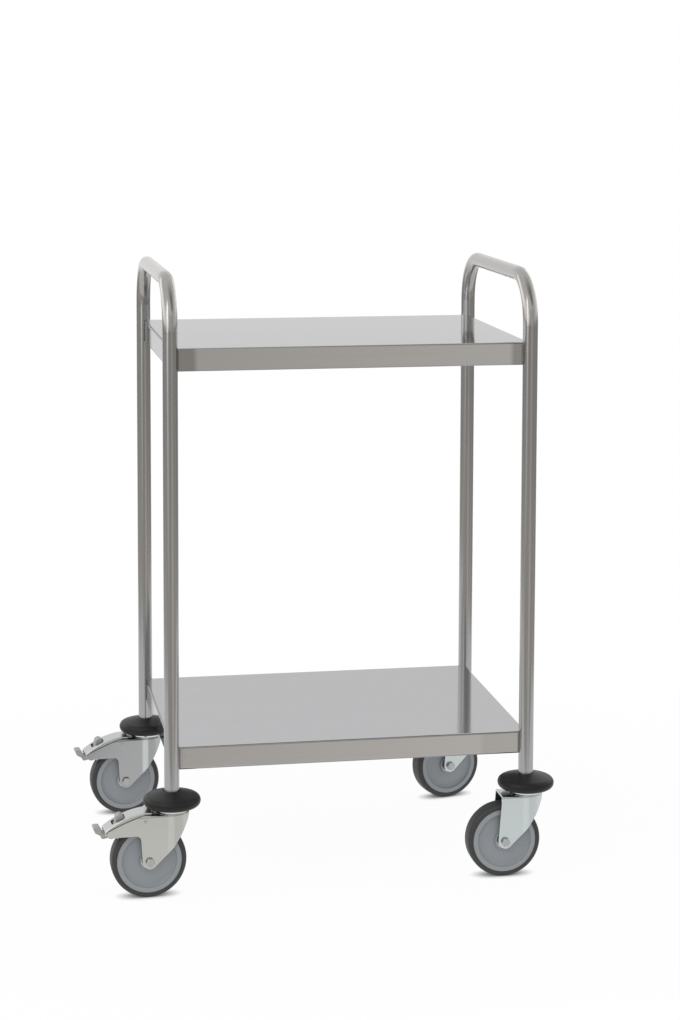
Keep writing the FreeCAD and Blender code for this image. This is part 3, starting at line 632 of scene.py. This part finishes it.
def floor_material():
    """White floor that keeps a faint shadow near the object, and a painted contact shadow, a soft dark
    line where it is touched.
    """
    material, tree, glow = glowing_material("studio_floor")
    # Painted contact shadow: the floor's glow darkens where the object closes it in
    touched = add_node(tree, "ShaderNodeAmbientOcclusion", inputs={"Distance": CONTACT_REACH})
    stops = [(openness, grey(level)) for openness, level in CONTACT_SHADOW_BANDS]
    tree.links.new(colours(tree, touched.outputs["AO"], stops), glow.inputs["Color"])
    tree.links.new(seen_directly(tree, FLOOR_GLOW, 1.0), glow.inputs["Strength"])
    paint = add_node(tree, "ShaderNodeBsdfDiffuse", inputs={"Color": FLOOR_PAINT})
    away = add_node(tree, "ShaderNodeVectorMath", {"operation": "LENGTH"})
    tree.links.new(rest_place(tree), away.inputs[0])
    shade = spread(tree, away.outputs["Value"], SHADE_SHARE, 0.0, SHADE_NEAR, SHADE_FAR)
    mix = add_node(tree, "ShaderNodeMixShader")
    out = tree.nodes["Material Output"]
    tree.links.new(shade, mix.inputs["Fac"])
    tree.links.new(glow.outputs["Emission"], mix.inputs[1])
    tree.links.new(paint.outputs["BSDF"], mix.inputs[2])
    tree.links.new(mix.outputs["Shader"], out.inputs["Surface"])
    return material


def studio_floor():
    """Floor under the object, which ends in the white background."""
    corners = [
        (-FLOOR_HALF_WIDTH, FLOOR_FRONT, 0), (FLOOR_HALF_WIDTH, FLOOR_FRONT, 0),
        (FLOOR_HALF_WIDTH, FLOOR_BACK, 0), (-FLOOR_HALF_WIDTH, FLOOR_BACK, 0),
    ]
    floor = panel("studio_floor", corners, floor_material())


def level_round(tree, angle, bands):
    """Level by the direction from the object, from bands in degrees from -Y towards +X."""
    return banded(tree, angle, [(FRONT_SHARE + degrees / 360, level) for degrees, level in bands])


def wall_material():
    """Studio wall whose brightness changes round the object: grey low down, pale higher up."""
    material, tree, glow = glowing_material("studio_wall")
    place = rest_place(tree)
    angle = turn_share(tree, place)
    height = parts_of(tree, place)["Z"]
    lower_round = level_round(tree, angle, LOWER_BANDS)
    lower = combined(tree, "MULTIPLY", lower_round, banded(tree, height, LOWER_HEIGHTS))
    upper = level_round(tree, angle, UPPER_BANDS)
    upper_share = share_between(tree, height, UPPER_START, UPPER_FULL)
    tint = colours(tree, upper_share, [(0.0, LOWER_TINT), (1.0, UPPER_TINT)])
    tree.links.new(tint, glow.inputs["Color"])
    tree.links.new(blended(tree, upper_share, lower, upper), glow.inputs["Strength"])
    return material


def studio_wall():
    """Round wall that is open behind the object."""
    points = []
    faces = []
    for step in range(WALL_STEPS + 1):
        share = step / WALL_STEPS
        angle = math.radians((2 * share - 1) * (180 - WALL_OPENING))
        x = WALL_RADIUS * math.sin(angle)
        y = -WALL_RADIUS * math.cos(angle)
        points += [(x, y, WALL_LOW), (x, y, WALL_HIGH)]
        if step:
            last = 2 * step
            faces.append((last - 2, last, last + 1, last - 1))
    wall = mesh_object("studio_wall", points, faces, wall_material())
    show_in_mirrors_only(wall)


def studio_world():
    """White background that lights the object at a plain level."""
    world = bpy.data.worlds.new("studio_light")
    world.use_nodes = True
    bpy.context.scene.world = world
    tree = world.node_tree
    tree.nodes.clear()
    back = add_node(tree, "ShaderNodeBackground", inputs={"Color": WHITE})
    out = add_node(tree, "ShaderNodeOutputWorld")
    tree.links.new(seen_directly(tree, WORLD_LEVEL, 1.0), back.inputs["Strength"])
    tree.links.new(back.outputs["Background"], out.inputs["Surface"])


def soft_lamp():
    """Large square lamp high at the front left, which no surface mirrors."""
    lamp = bpy.data.lights.new("soft_key", "AREA")
    lamp.shape = "SQUARE"
    lamp.size = LAMP_SIZE
    lamp.energy = LAMP_POWER
    key = placed("soft_key", lamp)
    key.location = LAMP_PLACE
    key.rotation_euler = (LAMP_TARGET - LAMP_PLACE).to_track_quat("-Z", "Y").to_euler()
    key.visible_glossy = False


def strip_light():
    """Narrow upright panel that glows towards the object."""
    material, tree, glow = glowing_material("studio_strip")
    height = parts_of(tree, rest_place(tree))["Z"]
    tree.links.new(banded(tree, height, STRIP_BANDS), glow.inputs["Strength"])
    aside = STRIP_PLACE.cross(Vector((0, 0, 1))).normalized() * STRIP_HALF_WIDTH
    low = STRIP_PLACE + Vector((0, 0, STRIP_BANDS[0][0]))
    high = STRIP_PLACE + Vector((0, 0, STRIP_BANDS[-1][0]))
    strip = panel("studio_strip", [low - aside, low + aside, high + aside, high - aside], material)
    show_in_mirrors_only(strip)


def overhead_band():
    """Panel over the right side that is white at its edges, like the world, and dark along its middle."""
    along = OVERHEAD_END - OVERHEAD_START
    material, tree, glow = glowing_material("studio_overhead")
    place = parts_of(tree, rest_place(tree))
    across = banded(tree, place["X"], OVERHEAD_ACROSS)
    fading = spread(tree, place["Y"], 1.0, 0.0, along.length * OVERHEAD_FADE_SHARE, along.length)
    dark = combined(tree, "MULTIPLY", across, fading)
    tree.links.new(spread(tree, dark, 1.0, OVERHEAD_LEVEL, 0.0, 1.0), glow.inputs["Strength"])
    half_width = OVERHEAD_ACROSS[-1][0]
    corners = [
        (-half_width, 0, 0), (half_width, 0, 0),
        (half_width, along.length, 0), (-half_width, along.length, 0),
    ]
    band = panel("studio_overhead", corners, material)
    band.location = OVERHEAD_START
    band.rotation_euler = (0, 0, math.atan2(-along.x, along.y))
    show_in_mirrors_only(band)


def camera():
    """Camera at the photograph's view."""
    data = bpy.data.cameras.new("photo_view")
    data.sensor_width = SENSOR
    data.lens = FOCAL_PIXELS * SENSOR / IMAGE_HEIGHT
    data.shift_y = (PRINCIPAL_Y - IMAGE_HEIGHT / 2) / IMAGE_HEIGHT
    made = placed("photo_view", data)
    place = Matrix.Translation(Vector((MID_X, MID_Y, 0)) + CAMERA_OFFSET)
    turn = Matrix.Rotation(-CAMERA_YAW, 4, "Z")
    tilt = Matrix.Rotation(math.pi / 2 - CAMERA_PITCH, 4, "X")
    roll = Matrix.Rotation(CAMERA_ROLL, 4, "Z")
    made.matrix_world = place @ turn @ tilt @ roll
    bpy.context.scene.camera = made


materials = surfaces()
dress(materials)
for shelf in ("top_shelf", "bottom_shelf"):
    shelf_welds(shelf, materials["weld"])
studio_floor()
studio_wall()
studio_world()
soft_lamp()
strip_light()
overhead_band()
camera()
bpy.context.scene.view_settings.view_transform = "Standard"
